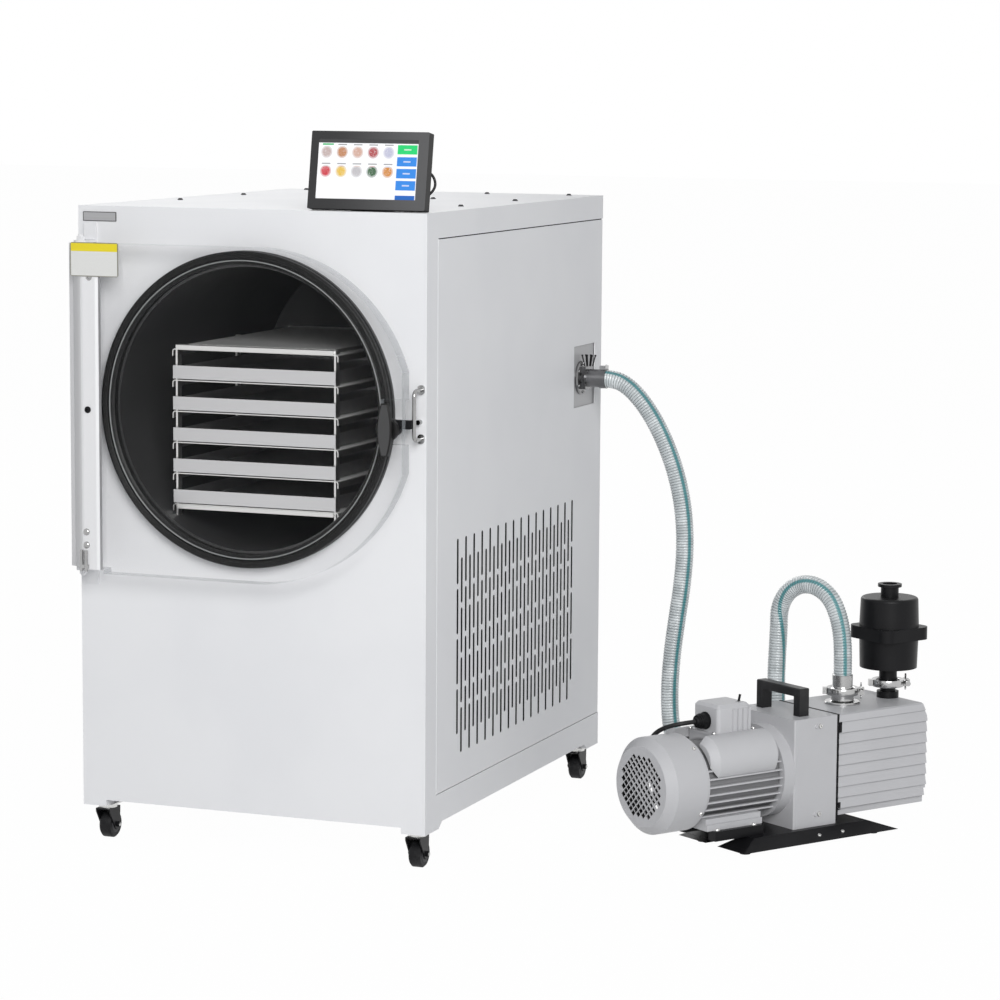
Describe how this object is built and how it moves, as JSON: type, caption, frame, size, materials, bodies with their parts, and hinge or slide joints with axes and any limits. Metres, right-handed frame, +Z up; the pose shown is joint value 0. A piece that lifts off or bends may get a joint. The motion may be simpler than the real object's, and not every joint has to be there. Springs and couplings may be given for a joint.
{
  "type": "freeze dryer",
  "caption": "Laboratory freeze dryer: cabinet on castors with a round vacuum chamber behind a clear hinged door, shelves and trays, a touch panel, and a rotary vane pump on a ribbed hose.",
  "frame": {"origin": "on the floor under the middle of the cabinet and pump, cords left out", "axes": "+Z up, the door faces -Y, the pump stands on the +X side"},
  "size_m": [1.231, 0.8733, 1.1526],
  "materials": {
    "white_paint": "fine-textured powder coat",
    "steel": "brushed stainless",
    "gasket": "moulded rubber",
    "clear": "clear cast plate",
    "stile": "light grey paint",
    "zinc": "bright plated",
    "black_metal": "black coat",
    "black_plastic": "black",
    "grey_plate": "printed plate",
    "screen": "lit display",
    "pump_paint": "light grey paint on casting",
    "cap_plastic": "grey",
    "alloy": "machined",
    "tyre": "solid tread",
    "hose": "ribbed clear vinyl",
    "cord": "sheath",
    "filter": "black",
    "copper": "copper"
  },
  "bodies": {
    "frame": {"base_frame": "white_paint", "front_panel": "white_paint", "top_cover": "white_paint", "right_side_panel": "white_paint", "left_side_panel": "white_paint", "rear_panel": "white_paint", "power_inlet": "black_plastic", "cover_screws": "zinc", "vacuum_chamber": "steel", "chamber_gasket": "gasket", "refrigeration_unit": "black_metal", "tray_rack": "steel", "tray_1": "steel", "tray_2": "steel", "tray_3": "steel", "tray_4": "steel", "tray_5": "steel", "hinge_bracket": "stile", "latch_keeper": "zinc", "badge_plate": "grey_plate", "tablet_housing": "black_plastic", "tablet_screen": "screen", "tablet_stand": "black_metal", "tablet_cable": "cord", "port_plate": "white_paint", "port_adapter": "zinc", "castor_plates": "zinc", "pump_base": "black_metal", "pump_feet": "gasket", "motor_body": "pump_paint", "fan_cover": "pump_paint", "capacitor_covers": "cap_plastic", "terminal_box": "cap_plastic", "cord_gland": "black_plastic", "pump_housing": "pump_paint", "oil_case": "pump_paint", "carry_handle": "black_plastic", "pipe_fittings": "alloy", "mist_filter": "filter", "vacuum_hose": "hose", "power_cord": "cord", "power_cord_coil": "cord", "power_plug": "black_plastic"},
    "door": {"door_plate": "clear", "door_hinge_strip": "stile", "hinge_screws": "zinc", "label_plate": "grey_plate"},
    "latch": {"latch_knob": "black_plastic", "latch_arm": "black_metal"},
    "condenser_fan": {"condenser_fan": "black_plastic"},
    "motor_fan": {"motor_fan": "black_plastic"},
    "toggle": {"toggle_lever": "black_plastic"},
    "castor_swivel_1": {"castor_fork_1": "black_metal"},
    "castor_wheel_1": {"castor_wheel_1": "tyre"},
    "castor_swivel_2": {"castor_fork_2": "black_metal"},
    "castor_wheel_2": {"castor_wheel_2": "tyre"},
    "castor_swivel_3": {"castor_fork_3": "black_metal"},
    "castor_wheel_3": {"castor_wheel_3": "tyre"},
    "castor_swivel_4": {"castor_fork_4": "black_metal"},
    "castor_wheel_4": {"castor_wheel_4": "tyre"}
  },
  "joints": [
    {"name": "door_hinge", "type": "hinge", "parent": "frame", "child": "door", "pos_m": [-0.5935, -0.4003, 0.714], "axis": [0, 0, -1], "range_deg": [0, 110]},
    {"name": "latch_turn", "type": "hinge", "parent": "door", "child": "latch", "pos_m": [-0.057, -0.4063, 0.7025], "axis": [0, -1, 0], "range_deg": [0, 90]},
    {"name": "condenser_fan_spin", "type": "hinge", "parent": "frame", "child": "condenser_fan", "pos_m": [-0.0995, 0.0237, 0.266], "axis": [1, 0, 0], "continuous": true},
    {"name": "motor_fan_spin", "type": "hinge", "parent": "frame", "child": "motor_fan", "pos_m": [0.28191, -0.06769, 0.111], "axis": [0.5476, 0.8368, 0], "continuous": true},
    {"name": "toggle_tilt", "type": "hinge", "parent": "frame", "child": "toggle", "pos_m": [0.367, 0.03677, 0.2295], "axis": [0.8368, -0.5476, 0], "range_deg": [-28, 0]},
    {"name": "castor_swivel_1", "type": "hinge", "parent": "frame", "child": "castor_swivel_1", "pos_m": [-0.5885, -0.3333, 0.055], "axis": [0, 0, 1], "continuous": true},
    {"name": "castor_roll_1", "type": "hinge", "parent": "castor_swivel_1", "child": "castor_wheel_1", "pos_m": [-0.5885, -0.3253, 0.022], "axis": [1, 0, 0], "continuous": true},
    {"name": "castor_swivel_2", "type": "hinge", "parent": "frame", "child": "castor_swivel_2", "pos_m": [-0.0425, -0.3333, 0.055], "axis": [0, 0, 1], "continuous": true},
    {"name": "castor_roll_2", "type": "hinge", "parent": "castor_swivel_2", "child": "castor_wheel_2", "pos_m": [-0.0425, -0.3253, 0.022], "axis": [1, 0, 0], "continuous": true},
    {"name": "castor_swivel_3", "type": "hinge", "parent": "frame", "child": "castor_swivel_3", "pos_m": [-0.5885, 0.3957, 0.055], "axis": [0, 0, 1], "continuous": true},
    {"name": "castor_roll_3", "type": "hinge", "parent": "castor_swivel_3", "child": "castor_wheel_3", "pos_m": [-0.5885, 0.4037, 0.022], "axis": [1, 0, 0], "continuous": true},
    {"name": "castor_swivel_4", "type": "hinge", "parent": "frame", "child": "castor_swivel_4", "pos_m": [-0.0425, 0.3957, 0.055], "axis": [0, 0, 1], "continuous": true},
    {"name": "castor_roll_4", "type": "hinge", "parent": "castor_swivel_4", "child": "castor_wheel_4", "pos_m": [-0.0425, 0.4037, 0.022], "axis": [1, 0, 0], "continuous": true}
  ]
}
